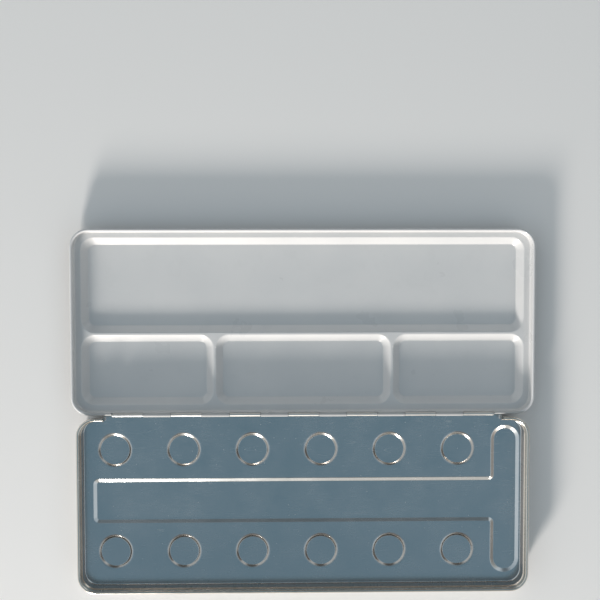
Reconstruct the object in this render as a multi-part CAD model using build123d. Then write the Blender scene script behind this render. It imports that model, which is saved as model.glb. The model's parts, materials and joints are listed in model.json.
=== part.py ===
from build123d import *
import math
import os

# Face paint tin, open flat: the base tray lies in front, the lid behind, both on the table.
# X runs along the hinge, +Y from the base to the lid, +Z up, all in millimetres.
# The origin is on the table, under the middle of the open tin.

# Sheet metal, enamel and label
SHEET = 0.3
ENAMEL = 0.15
LABEL_THICK = 0.1

# Lid, measured over the enamel on its rolled rim
LID_LENGTH = 240.0
LID_DEPTH = 96.3
LID_CORNER = 9.5
LID_HEIGHT = 9.9
LID_CURL = 1.1
LID_ROLL = 1.3

# Mixing wells sunk in the lid
WELL_DEPTH = 3.5
WELL_SLOPE = 3.6
WELL_CORNER = 3.5
WELL_FLOOR_BEND = 1.3
WELL_CREST_BEND = 0.6
WELL_SIDE_MARGIN = 8.2
WELL_FRONT_MARGIN = 8.0
WELL_BACK_MARGIN = 8.2
SMALL_WELL = 29.6
RIB = 8.1
RIB_SPACING = 92.5

# Base tray, measured over its rolled rim
BASE_LENGTH = 234.8
BASE_DEPTH = 92.05
BASE_CORNER = 9.5
BASE_HEIGHT = 12.0
BASE_CURL = 1.7
BASE_BEND = 0.8
LEDGE = 0.6
LEDGE_HEIGHT = 8.0
LEDGE_BEND = 0.4

# Features pressed down from the tray's floor, which stand on the table
PRESS_DEPTH = 1.1
PRESS_BEND = 0.7
FEATURE_LINE = 45.4
SEAT_RADIUS = 7.6
SEAT_SLOPE = 0.9
SEAT_PITCH = 36.04
SEAT_ROW_SPACING = 54.0
SEAT_SIDE_INSET = 18.6
SEAT_SHOULDER = 2.2
BRUSH_INSET = 9.0
BRUSH_WIDTH = 19.9
BRUSH_CORNER = 1.2
CROSS_INSET = 10.8
CROSS_WIDTH = 11.4
CROSS_LENGTH = 75.1
CHANNEL_SLOPE = 1.9
CHANNEL_SHOULDER = 1.0
CHANNEL_NECK = 1.0

# Hinge: knuckles curled from both sheets round one wire
HINGE_LENGTH = 197.6
BASE_KNUCKLES = 7
BASE_KNUCKLE_LENGTH = 15.9
PIN_RADIUS = 0.6
PIN_CLEARANCE = 0.05
PIN_INSET = 0.3
KNUCKLE_GAP = 0.35
KNUCKLE_WRAP = 320.0
HINGE_RELIEF = 0.35
BAY_MARGIN = 5.0
BAY_CORNER = 1.6
RIM_END_MARGIN = 4.8
RIM_WRAP = 320.0
COAT_WRAP = 270.0
BACK_CLEARANCE = 0.35

# Overshoot of the blocks that cut the rims open at the hinge
CUT_MARGIN = 2.0

# Label on the outside of the large well
LABEL_LENGTH = 138.5
LABEL_WIDTH = 21.3
LABEL_CORNER = 1.0
LABEL_TURN = -1.1
LABEL_SHIFT = -1.3
LABEL_FROM_HINGE = 59.6

# Places that follow from the sizes
PIN_BORE = PIN_RADIUS + PIN_CLEARANCE
KNUCKLE_RADIUS = PIN_BORE + SHEET
HINGE_Z = LABEL_THICK + LID_HEIGHT
HINGE_WALL_TOP = HINGE_Z - KNUCKLE_RADIUS - HINGE_RELIEF
LID_BACK = KNUCKLE_RADIUS - LID_CURL - ENAMEL
BASE_BACK = -(KNUCKLE_RADIUS + ENAMEL + BACK_CLEARANCE)
LID_REACH = LID_BACK + LID_DEPTH
BASE_REACH = BASE_DEPTH - BASE_BACK
HINGE_Y = (BASE_REACH - LID_REACH) / 2
LAND_Z = LABEL_THICK + WELL_DEPTH
BAY_HALF = HINGE_LENGTH / 2 + BAY_MARGIN
LID_RIM_END = HINGE_LENGTH / 2 + KNUCKLE_GAP
BASE_RIM_END = HINGE_LENGTH / 2 + RIM_END_MARGIN
FEATURE_Y = HINGE_Y + BASE_BACK - FEATURE_LINE
SEAT_REACH = SEAT_RADIUS + SEAT_SLOPE + SEAT_SHOULDER
CROSS_REACH = CROSS_WIDTH / 2 + CHANNEL_SLOPE + CHANNEL_SHOULDER
SEAT_RUN = BASE_LENGTH - SEAT_SIDE_INSET - SEAT_REACH - CROSS_REACH - CROSS_INSET
SEATS_PER_ROW = 1 + math.floor(SEAT_RUN / SEAT_PITCH)
LID_KNUCKLES = BASE_KNUCKLES - 1
LID_KNUCKLE_LENGTH = (HINGE_LENGTH - BASE_KNUCKLES * BASE_KNUCKLE_LENGTH) / LID_KNUCKLES
WELL_ANGLE = math.atan2(WELL_DEPTH, WELL_SLOPE)
SEAT_ANGLE = math.atan2(PRESS_DEPTH, SEAT_SLOPE)
CHANNEL_ANGLE = math.atan2(PRESS_DEPTH, CHANNEL_SLOPE)
OPEN_TOP = BASE_HEIGHT + LID_HEIGHT


def block(x0, x1, y0, y1, z0, z1):
    """A box between two corners."""
    shape = Box(x1 - x0, y1 - y0, z1 - z0)
    return Pos((x0 + x1) / 2, (y0 + y1) / 2, (z0 + z1) / 2) * shape


def prism(sketch, z0, z1):
    return extrude(Pos(0, 0, z0) * sketch, z1 - z0)


def frustum(low, high, z0, z1):
    """Straight-sided solid between two outlines."""
    return loft([Pos(0, 0, z0) * low, Pos(0, 0, z1) * high], ruled=True)


def bottom_edges(solid):
    return solid.edges().group_by(Axis.Z)[0]


def edges_at(solid, z):
    """Edges that lie level at one height."""
    return solid.edges().filter_by_position(Axis.Z, z - 0.001, z + 0.001)


def crest_edges(solid, z, closed):
    """Edges where pressed features leave the level face at height z: whole circles, or the rest."""
    level = [f for f in solid.faces().filter_by(Axis.Z) if abs(f.center().Z - z) < 0.001]
    widest = max(level, key=lambda f: f.area)
    edges = [edge for wire in widest.inner_wires() for edge in wire.edges()]
    return [edge for edge in edges if edge.is_closed == closed]


def lid_outline(inset):
    """Rim outline of the lid, drawn in by inset."""
    shape = RectangleRounded(LID_LENGTH - 2 * inset, LID_DEPTH - 2 * inset, LID_CORNER - inset)
    return Pos(0, HINGE_Y + LID_BACK + LID_DEPTH / 2) * shape


def base_outline(inset):
    """Rim outline of the base, drawn in by inset."""
    shape = RectangleRounded(BASE_LENGTH - 2 * inset, BASE_DEPTH - 2 * inset, BASE_CORNER - inset)
    return Pos(0, HINGE_Y + BASE_BACK - BASE_DEPTH / 2) * shape


def curl_section(outside, inside, start, wrap):
    """Layer bent to an arc about the local origin, between two radii."""
    outer = CenterArc((0, 0), outside, start, wrap)
    inner = CenterArc((0, 0), inside, start, wrap)
    return make_face([outer, inner, Line(outer @ 0, inner @ 0), Line(outer @ 1, inner @ 1)])


def rolled_rim(path_sketch, level, outside, inside, wrap):
    """Layer rolled outwards about a line at one level, all round the tin."""
    path = Pos(0, 0, level) * path_sketch.wire()
    tangent = path % 0
    outwards = 1 if tangent.cross(Vector(0, 0, 1)).dot(path @ 0 - path_sketch.center()) > 0 else -1
    start = -90 if outwards > 0 else 90
    plane = Plane(origin=path @ 0, x_dir=(0, 0, 1), z_dir=tangent)
    return sweep(plane * curl_section(outside, inside, start, outwards * wrap), path=path)


def hinge_cut(end, z0):
    """Block that cuts a wall and its rim open along the hinge."""
    near = HINGE_Y + BASE_BACK - BASE_CURL - CUT_MARGIN
    far = HINGE_Y + LID_BACK + LID_CURL + CUT_MARGIN
    return block(-end, end, near, far, z0, OPEN_TOP)


def well_places():
    """Centre and floor size of each mixing well."""
    back = HINGE_Y + LID_BACK + WELL_BACK_MARGIN
    front = HINGE_Y + LID_BACK + LID_DEPTH - WELL_FRONT_MARGIN
    side = LID_LENGTH / 2 - WELL_SIDE_MARGIN
    ribs = [-side - RIB / 2, -RIB_SPACING / 2, RIB_SPACING / 2, side + RIB / 2]
    places = []
    for left, right in zip(ribs, ribs[1:]):
        places.append(((left + right) / 2, back + SMALL_WELL / 2, right - left - RIB, SMALL_WELL))
    large = back + SMALL_WELL + RIB
    places.append((0, (large + front) / 2, 2 * side, front - large))
    return places


def well(place, inset):
    """One mixing well as a solid block, its surface set in from the outside of the sheet."""
    x, y, length, depth = place
    shift = inset * math.tan(WELL_ANGLE / 2)
    low = RectangleRounded(length - 2 * shift, depth - 2 * shift, WELL_CORNER - shift)
    spread = WELL_SLOPE - shift
    high = RectangleRounded(length + 2 * spread, depth + 2 * spread, WELL_CORNER + spread)
    shape = frustum(low, high, LABEL_THICK + inset, LAND_Z + inset)
    return Pos(x, y) * fillet(bottom_edges(shape), WELL_FLOOR_BEND - inset)


def lid_form(inset, top):
    """Solid bounded by the lid's surface, set in from the outside of the sheet."""
    land = LAND_Z + inset
    form = prism(lid_outline(ENAMEL + LID_CURL - SHEET + inset), land, top)
    form = fillet(bottom_edges(form), LID_ROLL - inset)
    for place in well_places():
        form += well(place, inset)
    return fillet(crest_edges(form, land, False), WELL_CREST_BEND + inset)


def seat_places():
    """Centre of each seat; a row holds as many as clear the cross piece of the channel."""
    first = -BASE_LENGTH / 2 + SEAT_SIDE_INSET
    rows = (FEATURE_Y - SEAT_ROW_SPACING / 2, FEATURE_Y + SEAT_ROW_SPACING / 2)
    return [(first + i * SEAT_PITCH, y) for y in rows for i in range(SEATS_PER_ROW)]


def pressed(solid, inset):
    """Round the lowest edge of a feature pressed down from the floor."""
    return fillet(bottom_edges(solid), PRESS_BEND - inset)


def seat(inset):
    """Round seat under one paint pan."""
    radius = SEAT_RADIUS + (SHEET - inset) * math.tan(SEAT_ANGLE / 2)
    shape = Cone(radius, radius + SEAT_SLOPE, PRESS_DEPTH)
    return pressed(Pos(0, 0, inset + PRESS_DEPTH / 2) * shape, inset)


def channel(inset):
    """Channel for the brush: a long bar that ends in a cross piece for the fingers."""
    grow = (SHEET - inset) * math.tan(CHANNEL_ANGLE / 2)
    left = -BASE_LENGTH / 2 + BRUSH_INSET
    cross_x = BASE_LENGTH / 2 - CROSS_INSET
    bar = RectangleRounded(cross_x - left + 2 * grow, BRUSH_WIDTH + 2 * grow, BRUSH_CORNER + grow)
    cross = SlotOverall(CROSS_LENGTH + 2 * grow, CROSS_WIDTH + 2 * grow, rotation=90)
    middle = (cross_x + left) / 2
    sketch = Pos(middle, FEATURE_Y) * bar + Pos(cross_x, FEATURE_Y) * cross
    reach = BRUSH_WIDTH / 2 + grow
    neck = [v for v in sketch.vertices() if v.X > middle and abs(abs(v.Y - FEATURE_Y) - reach) < 0.001]
    sketch = fillet(neck, CHANNEL_NECK + CHANNEL_SLOPE - grow)
    shape = extrude(Pos(0, 0, inset) * sketch, PRESS_DEPTH, taper=math.degrees(CHANNEL_ANGLE) - 90)
    return pressed(shape, inset)


def hinge_bay(inset, top):
    """Back of the tray, drawn out to the hinge."""
    back = HINGE_Y - KNUCKLE_RADIUS + SHEET - inset
    front = HINGE_Y + BASE_BACK - BASE_CURL - LEDGE - 2 * BASE_BEND
    half = BAY_HALF - inset
    shape = block(-half, half, front, back, PRESS_DEPTH + inset, top)
    corners = shape.edges().filter_by(Axis.Z).group_by(Axis.Y)[-1]
    shape = fillet(corners, BAY_CORNER - inset)
    low = [edge for edge in bottom_edges(shape) if edge.center().Y > front + SHEET]
    return fillet(low, BASE_BEND - inset)


def base_form(inset, top, bay_top):
    """Solid bounded by the tray's surface, set in from the outside of the sheet."""
    floor = PRESS_DEPTH + inset
    ledge = LEDGE_HEIGHT + inset * math.tan(math.pi / 8)
    lower = base_outline(BASE_CURL - SHEET + LEDGE + inset)
    upper = base_outline(BASE_CURL - SHEET + inset)
    form = fillet(bottom_edges(prism(lower, floor, ledge)), BASE_BEND - inset)
    form += frustum(lower, upper, ledge, ledge + LEDGE) + prism(upper, ledge + LEDGE, top)
    form = fillet(edges_at(form, ledge) + edges_at(form, ledge + LEDGE), LEDGE_BEND)
    form += hinge_bay(inset, bay_top)
    for x, y in seat_places():
        form += Pos(x, y) * seat(inset)
    form += channel(inset)
    form = fillet(crest_edges(form, floor, True), SEAT_SHOULDER + inset - SHEET)
    return fillet(crest_edges(form, floor, False), CHANNEL_SHOULDER + inset - SHEET)


def knuckle_runs():
    """Start, end and owner of each knuckle, from the left end of the hinge."""
    runs = []
    x = -HINGE_LENGTH / 2
    for i in range(BASE_KNUCKLES + LID_KNUCKLES):
        on_base = i % 2 == 0
        length = BASE_KNUCKLE_LENGTH if on_base else LID_KNUCKLE_LENGTH
        runs.append((x + KNUCKLE_GAP / 2, x + length - KNUCKLE_GAP / 2, on_base))
        x += length
    return runs


def knuckle(x0, x1, side, outside, inside, wrap):
    """Layer of the back wall curled round the wire; side is +1 on the lid and -1 on the base."""
    start = 0 if side > 0 else 180
    curl = extrude(Plane.YZ * curl_section(outside, inside, start, side * wrap), x1 - x0)
    edges = sorted([side * inside, side * outside])
    wall = block(x0, x1, edges[0], edges[1], HINGE_WALL_TOP - HINGE_Z - HINGE_RELIEF, 0)
    return Pos(0, HINGE_Y, HINGE_Z) * (Pos(x0, 0, 0) * curl + wall)


def lid_layer(inset, thick, rim_wrap, knuckle_wrap):
    """One layer of the lid, with its share of the rolled rim and of the knuckles."""
    level = HINGE_Z - ENAMEL - LID_CURL / 2
    line = lid_outline(ENAMEL + LID_CURL / 2)
    over_sheet = inset + thick - SHEET
    layer = lid_form(inset, level) - lid_form(inset + thick, OPEN_TOP)
    layer -= hinge_cut(LID_RIM_END, HINGE_WALL_TOP)
    roll = LID_CURL / 2 + over_sheet
    layer += rolled_rim(line, level, roll, roll - thick, rim_wrap) - hinge_cut(LID_RIM_END, 0)
    turn = KNUCKLE_RADIUS + over_sheet
    for x0, x1, on_base in knuckle_runs():
        if not on_base:
            layer += knuckle(x0, x1, 1, turn, turn - thick, knuckle_wrap)
    return layer


def lid_shell():
    return lid_layer(0, SHEET, RIM_WRAP, KNUCKLE_WRAP)


def lid_enamel():
    """White coat on the inside of the lid, carried over the rolled rim and the lid's knuckles."""
    return lid_layer(SHEET, ENAMEL, COAT_WRAP, COAT_WRAP)


def base_tray():
    level = BASE_HEIGHT - BASE_CURL / 2
    tray = base_form(0, level, HINGE_WALL_TOP) - base_form(SHEET, OPEN_TOP, OPEN_TOP)
    rim = rolled_rim(base_outline(BASE_CURL / 2), level, BASE_CURL / 2, BASE_CURL / 2 - SHEET, RIM_WRAP)
    tray += rim - hinge_cut(BASE_RIM_END, 0)
    for x0, x1, on_base in knuckle_runs():
        if on_base:
            tray += knuckle(x0, x1, -1, KNUCKLE_RADIUS, PIN_BORE, KNUCKLE_WRAP)
    return tray


def hinge_pin():
    length = HINGE_LENGTH - 2 * PIN_INSET
    return Pos(0, HINGE_Y, HINGE_Z) * (Rot(0, 90, 0) * Cylinder(PIN_RADIUS, length))


def label():
    """Bare paper label under the large well, the lowest face of the lid."""
    shape = RectangleRounded(LABEL_LENGTH, LABEL_WIDTH, LABEL_CORNER)
    place = Pos(LABEL_SHIFT, HINGE_Y + LABEL_FROM_HINGE) * Rot(0, 0, LABEL_TURN)
    return prism(place * shape, 0, LABEL_THICK)


def main():
    os.makedirs("parts", exist_ok=True)
    nodes = {
        "base_tray": base_tray(),
        "lid_shell": lid_shell(),
        "lid_enamel": lid_enamel(),
        "hinge_pin": hinge_pin(),
        "label": label(),
    }
    for name, shape in nodes.items():
        shape.label = name
        export_step(shape, f"parts/{name}.step")


main()
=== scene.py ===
import json
import math

import bmesh
import bpy
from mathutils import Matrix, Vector

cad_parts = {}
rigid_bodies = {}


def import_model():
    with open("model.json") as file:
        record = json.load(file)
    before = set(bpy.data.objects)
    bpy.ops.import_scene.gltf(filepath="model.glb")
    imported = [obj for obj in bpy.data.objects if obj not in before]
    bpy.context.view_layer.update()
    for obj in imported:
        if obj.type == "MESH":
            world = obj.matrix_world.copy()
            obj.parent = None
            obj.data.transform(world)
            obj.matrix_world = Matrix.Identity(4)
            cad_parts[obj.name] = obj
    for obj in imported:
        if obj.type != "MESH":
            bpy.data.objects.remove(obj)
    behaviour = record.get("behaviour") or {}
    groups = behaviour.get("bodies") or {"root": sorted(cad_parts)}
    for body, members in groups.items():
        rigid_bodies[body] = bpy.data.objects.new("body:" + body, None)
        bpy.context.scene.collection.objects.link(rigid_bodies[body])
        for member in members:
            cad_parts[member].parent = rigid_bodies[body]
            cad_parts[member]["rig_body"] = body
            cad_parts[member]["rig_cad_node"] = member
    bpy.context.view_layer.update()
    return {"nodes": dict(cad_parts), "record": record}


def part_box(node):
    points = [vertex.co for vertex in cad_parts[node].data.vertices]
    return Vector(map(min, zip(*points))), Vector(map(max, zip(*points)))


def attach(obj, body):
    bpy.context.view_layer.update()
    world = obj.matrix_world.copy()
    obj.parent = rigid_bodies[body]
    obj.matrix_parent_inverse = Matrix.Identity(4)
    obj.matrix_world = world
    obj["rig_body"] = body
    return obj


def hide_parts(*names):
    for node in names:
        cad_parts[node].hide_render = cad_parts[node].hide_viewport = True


# Face paint tin, lying open: the tinplate base in front, the white-enamelled lid behind.
# Metres, in the CAD frame: +X along the hinge, +Y from the base to the lid, +Z up.

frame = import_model()

MM = 0.001

# Pressed sheets: distance at which corners are merged, spacing of the cuts that keep long flat
# strips evenly shaded, and the sharpest bend that is shaded smooth
MERGE_DISTANCE = 0.002 * MM
SHADING_CELL = 7.5 * MM
SMOOTH_BEND = math.radians(50)

# Levels on the base: just above its floor, and its ledge; and the middle of its tray
FLOOR_LEVEL = 1.6 * MM
LEDGE_LEVEL = 7.8 * MM
TRAY_MIDDLE = (0.0, -48.0 * MM, 5.0 * MM)

# The bends of the pan seats: their levels, how far from the tray's middle line they begin, and
# how far to the right the last seats reach
SEAT_FOOT = 0.3 * MM
SEAT_CREST = 1.2 * MM
SEAT_START = 14.0 * MM
SEAT_END = 95.0 * MM

# Level at which the lid's rolled rim begins
LID_RIM_LEVEL = 9.4 * MM

# The hinge wire's line, and how far from it the knuckles reach
WIRE_LINE = tuple(frame["record"]["behaviour"]["joints"][0]["pos_m"])
KNUCKLE_REACH = 1.25 * MM

# Tones of the base's tinplate, with painted shade where it is drawn and pressed (walls, seat bends), and a
# painted sheen and painted highlight where it is rolled and curled (rim, knuckles)
TIN_DULL = (0.58, 0.62, 0.635)
TIN_BRIGHT = (0.64, 0.66, 0.67)
TIN_FLAKE = (0.72, 0.73, 0.72)
TIN_DUST = (0.80, 0.79, 0.76)
TIN_SCRATCH = (0.78, 0.78, 0.76)
PAINTED_WALL_SHADE = (0.46, 0.455, 0.44)
PAINTED_INNER_WALL_SHADE = (0.40, 0.345, 0.31)
PAINTED_RIM_SHEEN = (0.73, 0.685, 0.61)
PAINTED_SEAT_SHADE = (0.36, 0.345, 0.32)
PAINTED_KNUCKLE_HIGHLIGHT = (0.78, 0.77, 0.74)

# Tones of the lid's outside
MATTE_DULL = (0.405, 0.385, 0.37)
MATTE_BRIGHT = (0.445, 0.425, 0.41)
MATTE_CRYSTAL = (0.60, 0.58, 0.56)
MATTE_PIT = (0.22, 0.215, 0.21)
MATTE_SCRATCH = (0.80, 0.80, 0.78)

# Tones of the enamel
ENAMEL_SHADE = (0.65, 0.655, 0.655)
ENAMEL_LIGHT = (0.69, 0.69, 0.685)
ENAMEL_SMUDGE = (0.60, 0.605, 0.60)
ENAMEL_DUST = (0.34, 0.33, 0.31)
ENAMEL_CHIP = (0.40, 0.40, 0.39)
RUBBED_KNUCKLE = (0.44, 0.445, 0.44)

# Tones of the wire and the label
WIRE_SHADE = (0.34, 0.34, 0.34)
WIRE_LIGHT = (0.52, 0.52, 0.51)
PAPER_SHADE = (0.82, 0.80, 0.76)
PAPER_LIGHT = (0.86, 0.85, 0.82)

# Pieces modelled here: the wire's rounded ends and the label
WIRE_END = 0.18 * MM
LABEL_LENGTH = 138.5 * MM
LABEL_WIDTH = 21.3 * MM
LABEL_CORNER = 1.0 * MM
LABEL_TURN = math.radians(-1.1)
LABEL_EDGE = 0.03 * MM
CRISP_EDGE = math.radians(40)

# The photograph's view: nearly straight down
CAMERA_PLACE = Vector((-0.0153, 0.0909, 0.5983))
CAMERA_TILT = (-0.0557, -0.0230, -0.0024)
CAMERA_LENS = 68.7

# Soft studio light: a low warm key from the front left
KEY_PLACE = Vector((-0.541, -1.338, 0.408))
KEY_SIZE = 0.28
KEY_POWER = 29.0
KEY_COLOUR = (1.0, 0.94, 0.885)

# The surround's colour by height, from the horizon to overhead
SURROUND = (
    (0.0, (0.66, 0.62, 0.58)),
    (0.3, (0.86, 0.86, 0.85)),
    (0.6, (0.78, 0.83, 0.87)),
    (0.86, (0.245, 0.33, 0.395)),
    (1.0, (0.142, 0.230, 0.288)),
)

# Soft patches laid over the surround: direction, colour, and the angles from that direction,
# in degrees, at which the patch ends and at which it is full
PATCHES = (
    ((-0.10, -0.93, 0.34), (0.82, 0.78, 0.72), 46, 18),
    ((0.05, 0.86, 0.50), (0.10, 0.12, 0.13), 30, 14),
    ((0.97, 0.10, 0.20), (0.16, 0.14, 0.125), 31, 18),
    ((0.10, 0.97, 0.12), (0.15, 0.135, 0.122), 34, 18),
    ((0.0, -0.695, 0.719), (0.13, 0.115, 0.105), 22, 11),
)

FLOOR_SIZE = 6.0
FLOOR_COLOUR = (0.86, 0.85, 0.835, 1)
BACKDROP_COLOUR = (0.80, 0.80, 0.79, 1)


def deselect():
    bpy.ops.object.select_all(action="DESELECT")


def activate(piece):
    deselect()
    piece.select_set(True)
    bpy.context.view_layer.objects.active = piece


class Finish:
    """A material whose detail comes from patterns on Object coordinates."""

    def __init__(self, name, **constants):
        self.material = bpy.data.materials.new(name)
        self.material.use_nodes = True
        self.tree = self.material.node_tree
        self.shader = self.tree.nodes["Principled BSDF"]
        for socket, value in constants.items():
            self.shader.inputs[socket.replace("_", " ")].default_value = value
        self.places = self.tree.nodes.new("ShaderNodeTexCoord")
        self.coordinates = self.places.outputs["Object"]

    def link(self, output, socket):
        self.tree.links.new(output, socket)

    def connect(self, source, socket):
        """Feed a socket from a node's output, a number or a vector."""
        if isinstance(source, bpy.types.NodeSocket):
            self.link(source, socket)
        else:
            socket.default_value = source

    # Arithmetic

    def number(self, operation, first, second):
        node = self.tree.nodes.new("ShaderNodeMath")
        node.operation = operation
        self.connect(first, node.inputs[0])
        self.connect(second, node.inputs[1])
        return node.outputs[0]

    def plus(self, first, second):
        return self.number("ADD", first, second)

    def minus(self, first, second):
        return self.number("SUBTRACT", first, second)

    def times(self, first, second):
        return self.number("MULTIPLY", first, second)

    def larger(self, first, second):
        return self.number("MAXIMUM", first, second)

    def vector(self, operation, first, second, output="Vector"):
        node = self.tree.nodes.new("ShaderNodeVectorMath")
        node.operation = operation
        self.connect(first, node.inputs[0])
        self.connect(second, node.inputs[1])
        return node.outputs[output]

    def spread(self, value, low, high, to_low=0, to_high=1):
        """A value from low to high, spread over another range."""
        spread = self.tree.nodes.new("ShaderNodeMapRange")
        ends = {"From Min": low, "From Max": high, "To Min": to_low, "To Max": to_high}
        for socket, number in ends.items():
            spread.inputs[socket].default_value = number
        self.link(value, spread.inputs["Value"])
        return spread.outputs["Result"]

    def cloudy(self, noise, to_low=0, to_high=1):
        """A noise pattern's middle range, spread over another range."""
        return self.spread(noise, 0.3, 0.7, to_low, to_high)

    # Patterns

    def stretched(self, x, y, z, turn=0.0):
        """Object coordinates turned about Z, with a scale of their own along each axis."""
        mapping = self.tree.nodes.new("ShaderNodeMapping")
        mapping.inputs["Rotation"].default_value = (0, 0, turn)
        mapping.inputs["Scale"].default_value = (x, y, z)
        self.link(self.coordinates, mapping.inputs["Vector"])
        return mapping.outputs["Vector"]

    def noise(self, size, detail=2.0, roughness=0.5, where=None):
        """Cloudy pattern, with features about size metres across."""
        noise = self.tree.nodes.new("ShaderNodeTexNoise")
        noise.inputs["Scale"].default_value = 1 / size
        noise.inputs["Detail"].default_value = detail
        noise.inputs["Roughness"].default_value = roughness
        self.link(where or self.coordinates, noise.inputs["Vector"])
        return noise.outputs["Fac"]

    def cells(self, size, output="Color", dimensions="3D"):
        """Scattered cells about size metres across."""
        cells = self.tree.nodes.new("ShaderNodeTexVoronoi")
        cells.voronoi_dimensions = dimensions
        cells.inputs["Scale"].default_value = 1 / size
        self.link(self.coordinates, cells.inputs["Vector"])
        return cells.outputs[output]

    def specks(self, spacing, radius, share):
        """1 on small round specks about spacing apart, at that share of the places."""
        reach = radius / spacing
        near = self.spread(self.cells(spacing, "Distance", "2D"), reach, 0.6 * reach)
        chosen = self.spread(self.cells(spacing, "Color", "2D"), 1 - share, 1.02 - share)
        return self.times(near, chosen)

    def scratches(self, turn, spacing):
        """1 on thin, long, slightly curved scratches that run at an angle of turn to the X axis."""
        lines = self.noise(spacing, detail=0.0, where=self.stretched(0.05, 1, 1, turn))
        thin = self.times(self.spread(lines, 0.5, 0.504, 1, 0), self.spread(lines, 0.4995, 0.5))
        return self.times(thin, self.spread(self.noise(9 * MM, detail=1.0), 0.56, 0.62))

    # Places on the tin

    def axes(self):
        """Object coordinates as X, Y and Z."""
        parts = self.tree.nodes.new("ShaderNodeSeparateXYZ")
        self.link(self.coordinates, parts.inputs[0])
        return parts.outputs

    def above(self, level, soft):
        """1 above a level on the piece, in metres, fading in over that height."""
        return self.spread(self.axes()["Z"], level, level + soft)

    def seats(self):
        """1 on the bends of the pan seats, 0 elsewhere."""
        band = self.minus(self.above(SEAT_FOOT, 0.15 * MM), self.above(SEAT_CREST, 0.15 * MM))
        off_middle = self.number("ABSOLUTE", self.minus(self.axes()["Y"], TRAY_MIDDLE[1]), 0.0)
        rows = self.spread(off_middle, SEAT_START, SEAT_START + 1 * MM)
        run = self.spread(self.axes()["X"], SEAT_END, SEAT_END + 1 * MM, 1, 0)
        return self.times(band, self.times(rows, run))

    def facing(self, middle):
        """1 where the surface faces a middle point on the piece, 0 where it faces away from it."""
        away = self.vector("SUBTRACT", self.coordinates, middle)
        along = self.vector("DOT_PRODUCT", away, self.places.outputs["Normal"], "Value")
        return self.spread(along, -4 * MM, 4 * MM, 1, 0)

    def knuckles(self):
        """1 on the knuckles round the hinge wire, 0 elsewhere."""
        across = self.vector("MULTIPLY", self.vector("SUBTRACT", self.coordinates, WIRE_LINE), (0, 1, 1))
        away = self.vector("LENGTH", across, (0, 0, 0), "Value")
        return self.spread(away, KNUCKLE_REACH, 0.92 * KNUCKLE_REACH)

    # Colour and relief

    def blend(self, share, first, second):
        """Mix of two colours; each is a tuple or another node's colour."""
        mix = self.tree.nodes.new("ShaderNodeMix")
        mix.data_type = "RGBA"
        self.link(share, mix.inputs[0])
        for socket, colour in ((mix.inputs[6], first), (mix.inputs[7], second)):
            self.connect((*colour, 1) if isinstance(colour, tuple) else colour, socket)
        return mix.outputs[2]

    def toned(self, tint, where, share, colour):
        """A tint turned by that share to a colour where the pattern is 1."""
        return self.blend(self.times(where, share), tint, colour)

    def relief(self, height, depth, under=None):
        """Surface relief of that depth in metres, laid over another relief."""
        bump = self.tree.nodes.new("ShaderNodeBump")
        bump.inputs["Strength"].default_value = 1.0
        bump.inputs["Distance"].default_value = depth
        self.link(height, bump.inputs["Height"])
        if under:
            self.link(under, bump.inputs["Normal"])
        return bump.outputs["Normal"]

    def drive(self, **outputs):
        """Patterns that drive sockets of the shader."""
        for socket, output in outputs.items():
            self.link(output, self.shader.inputs[socket.replace("_", " ")])
        return self.material


def tinplate():
    """Bright tinned steel: fine speckle, rolling grain, dust and scratches, worked areas rougher; painted
    shade on the walls and seat bends, a painted sheen on the rim and a painted highlight on the knuckles.
    """
    finish = Finish("tinplate", Metallic=1.0, IOR=1.6)
    mottle = finish.noise(22 * MM, detail=4.0, roughness=0.6)
    grain = finish.noise(0.35 * MM, detail=3.0, where=finish.stretched(0.06, 1, 1))
    streaks = finish.noise(1.2 * MM, detail=3.0, where=finish.stretched(1, 1, 0.08))
    dust = finish.specks(7 * MM, 0.16 * MM, 0.3)
    scratches = finish.larger(finish.scratches(0.3, 5 * MM), finish.scratches(-1.1, 8 * MM))
    rim = finish.above(LEDGE_LEVEL, 0.5 * MM)
    wall = finish.minus(finish.above(FLOOR_LEVEL, 0.6 * MM), rim)
    knuckles = finish.knuckles()

    tint = finish.blend(finish.cloudy(mottle), TIN_DULL, TIN_BRIGHT)
    tint = finish.toned(tint, finish.cells(0.45 * MM), 0.16, TIN_FLAKE)
    # Painted shade: the walls between floor and ledge darkened, in place of the dark surroundings they
    # reflect
    tint = finish.toned(tint, wall, 0.5, PAINTED_WALL_SHADE)
    # Painted shade: the walls' faces that look into the tray turned dark brown, in place of the dark
    # reflections there
    tint = finish.toned(tint, finish.times(wall, finish.facing(TRAY_MIDDLE)), 0.9, PAINTED_INNER_WALL_SHADE)
    # Painted sheen: everything above the ledge level lightened to a warm cream, in place of the light the
    # rolled rim reflects
    tint = finish.toned(tint, rim, 0.85, PAINTED_RIM_SHEEN)
    # Painted shade: the bends of the pan seats darkened, dimming their highlights
    tint = finish.toned(tint, finish.seats(), 0.75, PAINTED_SEAT_SHADE)
    # Painted highlight: the base's knuckles lightened to a pale metal
    tint = finish.toned(tint, knuckles, 0.9, PAINTED_KNUCKLE_HIGHLIGHT)
    tint = finish.toned(tint, dust, 0.6, TIN_DUST)
    tint = finish.toned(tint, scratches, 0.35, TIN_SCRATCH)

    roughness = finish.plus(finish.cloudy(mottle, 0.20, 0.26), finish.cloudy(grain, -0.02, 0.04))
    roughness = finish.plus(roughness, finish.times(wall, finish.cloudy(streaks, 0.02, 0.12)))
    for where, more in ((knuckles, 0.16), (dust, 0.35), (scratches, 0.10)):
        roughness = finish.plus(roughness, finish.times(where, more))

    relief = finish.relief(finish.noise(55 * MM, detail=1.0), 0.22 * MM)
    relief = finish.relief(grain, 0.0018 * MM, relief)
    return finish.drive(Base_Color=tint, Roughness=roughness, Normal=relief)


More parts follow.
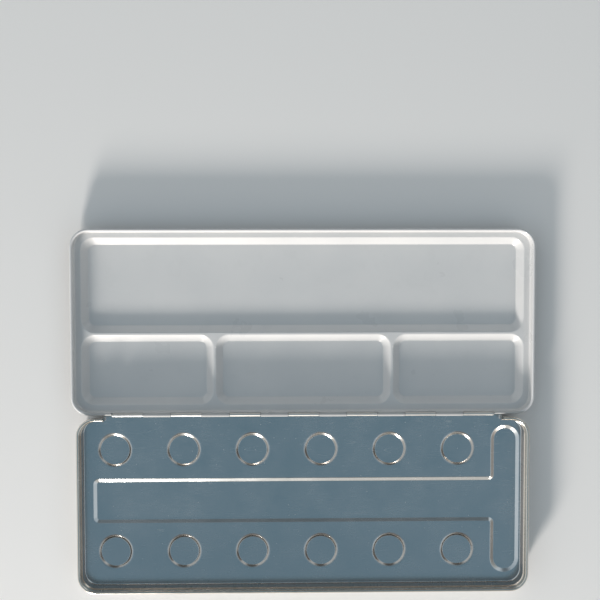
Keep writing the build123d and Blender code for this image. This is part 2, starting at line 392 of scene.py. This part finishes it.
def matte_tinplate():
    """The lid's outside: the same sheet left duller, with a crystalline speckle."""
    finish = Finish("matte_tinplate", Metallic=1.0, IOR=1.6)
    mottle = finish.noise(18 * MM, detail=5.0, roughness=0.65)
    crystals = finish.cells(0.75 * MM)
    pits = finish.spread(finish.cells(0.45 * MM), 0.4, 0.0)
    scratches = finish.larger(finish.scratches(0.9, 6 * MM), finish.scratches(-0.4, 9 * MM))

    tint = finish.blend(finish.cloudy(mottle), MATTE_DULL, MATTE_BRIGHT)
    tint = finish.toned(tint, finish.spread(crystals, 0.2, 1.0), 0.5, MATTE_CRYSTAL)
    tint = finish.toned(tint, pits, 0.5, MATTE_PIT)
    tint = finish.toned(tint, scratches, 0.4, MATTE_SCRATCH)

    roughness = finish.plus(
        finish.cloudy(mottle, 0.38, 0.46),
        finish.spread(crystals, 0.0, 1.0, -0.08, 0.06),
    )
    relief = finish.relief(finish.noise(70 * MM, detail=1.0), 0.2 * MM)
    relief = finish.relief(crystals, 0.006 * MM, relief)
    return finish.drive(Base_Color=tint, Roughness=roughness, Normal=relief)


def white_enamel():
    """Baked enamel: glossy, with an orange-peel surface, smudges and dust, chips on the rim, and
    rubbed thin on the knuckles."""
    finish = Finish("white_enamel", Coat_Weight=0.35, Coat_Roughness=0.12, IOR=1.5)
    cloud = finish.noise(30 * MM, detail=3.0)
    smudge = finish.noise(12 * MM, detail=5.0, roughness=0.6)
    dust = finish.specks(9 * MM, 0.13 * MM, 0.22)
    chips = finish.spread(finish.noise(0.9 * MM, detail=3.0), 0.69, 0.72)
    chips = finish.times(chips, finish.above(LID_RIM_LEVEL, 0.3 * MM))

    tint = finish.blend(finish.cloudy(cloud), ENAMEL_SHADE, ENAMEL_LIGHT)
    tint = finish.toned(tint, finish.spread(smudge, 0.55, 0.75), 0.3, ENAMEL_SMUDGE)
    tint = finish.toned(tint, dust, 0.7, ENAMEL_DUST)
    tint = finish.toned(tint, chips, 0.7, ENAMEL_CHIP)
    tint = finish.toned(tint, finish.knuckles(), 0.9, RUBBED_KNUCKLE)

    roughness = finish.plus(
        finish.cloudy(cloud, 0.26, 0.34),
        finish.spread(smudge, 0.5, 0.75, 0, 0.08),
    )
    relief = finish.relief(finish.noise(60 * MM, detail=1.0), 0.2 * MM)
    relief = finish.relief(finish.noise(1.3 * MM, detail=2.0), 0.004 * MM, relief)
    return finish.drive(Base_Color=tint, Roughness=roughness, Normal=relief)


def steel_wire():
    """Drawn wire, streaked along its length."""
    finish = Finish("steel_wire", Metallic=1.0)
    streaks = finish.noise(0.2 * MM, detail=2.0, where=finish.stretched(0.02, 1, 1))
    tint = finish.blend(streaks, WIRE_SHADE, WIRE_LIGHT)
    return finish.drive(Base_Color=tint, Roughness=finish.cloudy(streaks, 0.3, 0.42))


def label_paper():
    """Smooth off-white label paper with a little fibre in it."""
    finish = Finish("label_paper", Coat_Weight=0.15, Coat_Roughness=0.3)
    fibres = finish.noise(0.5 * MM, detail=4.0, where=finish.stretched(0.4, 1, 1))
    cloud = finish.noise(15 * MM, detail=2.0)
    tint = finish.blend(finish.cloudy(cloud), PAPER_SHADE, PAPER_LIGHT)
    roughness = finish.cloudy(fibres, 0.42, 0.55)
    return finish.drive(Base_Color=tint, Roughness=roughness, Normal=finish.relief(fibres, 0.004 * MM))


def fit(piece, name, node, body, material):
    """Put a piece in place of its CAD node."""
    piece.name = name
    piece.data.materials.clear()
    piece.data.materials.append(material)
    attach(piece, body)
    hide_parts(node)


def cut_into_cells(box):
    """Cut the mesh in edit mode along X and Y, so that shading at a bend stays beside the bend."""
    for axis, side in ((0, Vector((1, 0, 0))), (1, Vector((0, 1, 0)))):
        low, high = box[0][axis], box[1][axis]
        cells = math.ceil((high - low) / SHADING_CELL)
        for i in range(1, cells):
            bpy.ops.mesh.select_all(action="SELECT")
            place = side * (low + (high - low) * i / cells)
            bpy.ops.mesh.bisect(plane_co=place, plane_no=side)


def pressed_sheet(node, name, body, material):
    """The pressed shape of a CAD node, merged and shaded smooth over its bends."""
    source = frame["nodes"][node]
    piece = source.copy()
    piece.data = source.data.copy()
    piece.parent = None
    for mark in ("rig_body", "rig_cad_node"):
        del piece[mark]
    bpy.context.scene.collection.objects.link(piece)
    activate(piece)
    bpy.ops.mesh.customdata_custom_splitnormals_clear()
    bpy.ops.object.mode_set(mode="EDIT")
    bpy.ops.mesh.select_all(action="SELECT")
    bpy.ops.mesh.remove_doubles(threshold=MERGE_DISTANCE)
    cut_into_cells(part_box(node))
    bpy.ops.object.mode_set(mode="OBJECT")
    bpy.ops.object.shade_smooth_by_angle(angle=SMOOTH_BEND)
    modifier = piece.modifiers.new("level_flats", "WEIGHTED_NORMAL")
    modifier.keep_sharp = True
    bpy.ops.object.modifier_apply(modifier=modifier.name)
    fit(piece, name, node, body, material)


def made_by_hand(piece, name, node, body, material):
    """Fix a modelled piece's place in its mesh and put it in place of its CAD node."""
    activate(piece)
    bpy.ops.object.transform_apply(location=True, rotation=True, scale=True)
    bpy.ops.object.shade_smooth_by_angle(angle=CRISP_EDGE)
    fit(piece, name, node, body, material)


def choose_end_edges(wire):
    """Select the edges round a cylinder's two end faces, in edit mode."""
    bpy.ops.mesh.select_mode(type="EDGE")
    bpy.ops.mesh.select_all(action="DESELECT")
    mesh = bmesh.from_edit_mesh(wire.data)
    for edge in mesh.edges:
        edge.select_set(any(len(face.verts) > 4 for face in edge.link_faces))
    mesh.select_flush_mode()
    bmesh.update_edit_mesh(wire.data)


def hinge_wire(material):
    """Drawn wire through the knuckles, its cut ends rounded off."""
    low, high = (Vector(corner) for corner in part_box("hinge_pin"))
    deselect()
    bpy.ops.mesh.primitive_cylinder_add(
        vertices=48, radius=(high.z - low.z) / 2, depth=high.x - low.x,
        location=(low + high) / 2, rotation=(0, math.pi / 2, 0),
    )
    wire = bpy.context.object
    bpy.ops.object.mode_set(mode="EDIT")
    choose_end_edges(wire)
    bpy.ops.mesh.bevel(offset=WIRE_END, segments=4)
    bpy.ops.object.mode_set(mode="OBJECT")
    made_by_hand(wire, "hinge_wire", "hinge_pin", "base", material)


def paper_label(material):
    """Bare label, die-cut with rounded corners, its edge pressed thin on the sheet."""
    low, high = (Vector(corner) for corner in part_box("label"))
    deselect()
    bpy.ops.mesh.primitive_plane_add(size=1, location=((low.x + high.x) / 2, (low.y + high.y) / 2, high.z))
    label = bpy.context.object
    bpy.ops.object.mode_set(mode="EDIT")
    bpy.ops.transform.resize(value=(LABEL_LENGTH, LABEL_WIDTH, 1))
    bpy.ops.mesh.bevel(offset=LABEL_CORNER, segments=6, affect="VERTICES")
    bpy.ops.object.mode_set(mode="OBJECT")
    label.rotation_euler.z = LABEL_TURN
    for kind, settings in (
        ("SOLIDIFY", {"thickness": high.z - low.z, "offset": -1}),
        ("BEVEL", {"width": LABEL_EDGE, "segments": 2, "limit_method": "ANGLE"}),
    ):
        modifier = label.modifiers.new(kind.lower(), kind)
        for setting, value in settings.items():
            setattr(modifier, setting, value)
        bpy.ops.object.modifier_apply(modifier=modifier.name)
    made_by_hand(label, "blank_label", "label", "lid", material)


def studio():
    """Floor, key light and surround."""
    deselect()
    bpy.ops.mesh.primitive_plane_add(size=FLOOR_SIZE)
    floor = bpy.context.object
    floor.name = "floor"
    finish = Finish("floor", Base_Color=FLOOR_COLOUR, Roughness=0.85, Specular_IOR_Level=0.2)
    floor.data.materials.append(finish.material)

    key = bpy.data.lights.new("key", "AREA")
    key.shape = "DISK"
    key.size = KEY_SIZE
    key.energy = KEY_POWER
    key.color = KEY_COLOUR
    lamp = bpy.data.objects.new("key", key)
    lamp.location = KEY_PLACE
    lamp.rotation_euler = (-KEY_PLACE).to_track_quat("-Z", "Y").to_euler()
    bpy.context.scene.collection.objects.link(lamp)

    surround()


def surround():
    """World colour by height, with the patches laid over it; seen directly, a plain pale backdrop."""
    world = bpy.data.worlds.new("surround")
    world.use_nodes = True
    tree = world.node_tree
    direction = tree.nodes.new("ShaderNodeTexCoord").outputs["Generated"]
    parts = tree.nodes.new("ShaderNodeSeparateXYZ")
    ramp = tree.nodes.new("ShaderNodeValToRGB")
    tree.links.new(direction, parts.inputs[0])
    tree.links.new(parts.outputs["Z"], ramp.inputs[0])
    stops = ramp.color_ramp.elements
    stops.remove(stops[1])
    for height, colour in SURROUND:
        stop = stops[0] if height == 0 else stops.new(height)
        stop.position = height
        stop.color = (*colour, 1)
    light = ramp.outputs["Color"]
    for place, colour, end, full in PATCHES:
        light = mixed(tree, patch(tree, direction, place, end, full), light, (*colour, 1))
    seen = tree.nodes.new("ShaderNodeLightPath").outputs["Is Camera Ray"]
    light = mixed(tree, seen, light, BACKDROP_COLOUR)
    tree.links.new(light, tree.nodes["Background"].inputs["Color"])
    bpy.context.scene.world = world


def patch(tree, direction, place, end, full):
    """1 in the middle of a soft round patch of the surround, 0 outside it."""
    near = tree.nodes.new("ShaderNodeVectorMath")
    near.operation = "DOT_PRODUCT"
    near.inputs[1].default_value = Vector(place).normalized()
    share = tree.nodes.new("ShaderNodeMapRange")
    share.interpolation_type = "SMOOTHSTEP"
    share.inputs["From Min"].default_value = math.cos(math.radians(end))
    share.inputs["From Max"].default_value = math.cos(math.radians(full))
    tree.links.new(direction, near.inputs[0])
    tree.links.new(near.outputs["Value"], share.inputs["Value"])
    return share.outputs["Result"]


def mixed(tree, share, under, colour):
    """The surround's light, turned to a colour by a share."""
    mix = tree.nodes.new("ShaderNodeMix")
    mix.data_type = "RGBA"
    mix.inputs[7].default_value = colour
    tree.links.new(share, mix.inputs[0])
    tree.links.new(under, mix.inputs[6])
    return mix.outputs[2]


def camera():
    data = bpy.data.cameras.new("camera")
    data.lens = CAMERA_LENS
    view = bpy.data.objects.new("camera", data)
    view.location = CAMERA_PLACE
    view.rotation_mode = "YXZ"
    view.rotation_euler = CAMERA_TILT
    bpy.context.scene.collection.objects.link(view)
    bpy.context.scene.camera = view


bpy.context.scene.view_settings.view_transform = "Standard"
camera()
studio()

pressed_sheet("base_tray", "base_sheet", "base", tinplate())
pressed_sheet("lid_shell", "lid_sheet", "lid", matte_tinplate())
pressed_sheet("lid_enamel", "lid_coat", "lid", white_enamel())
hinge_wire(steel_wire())
paper_label(label_paper())
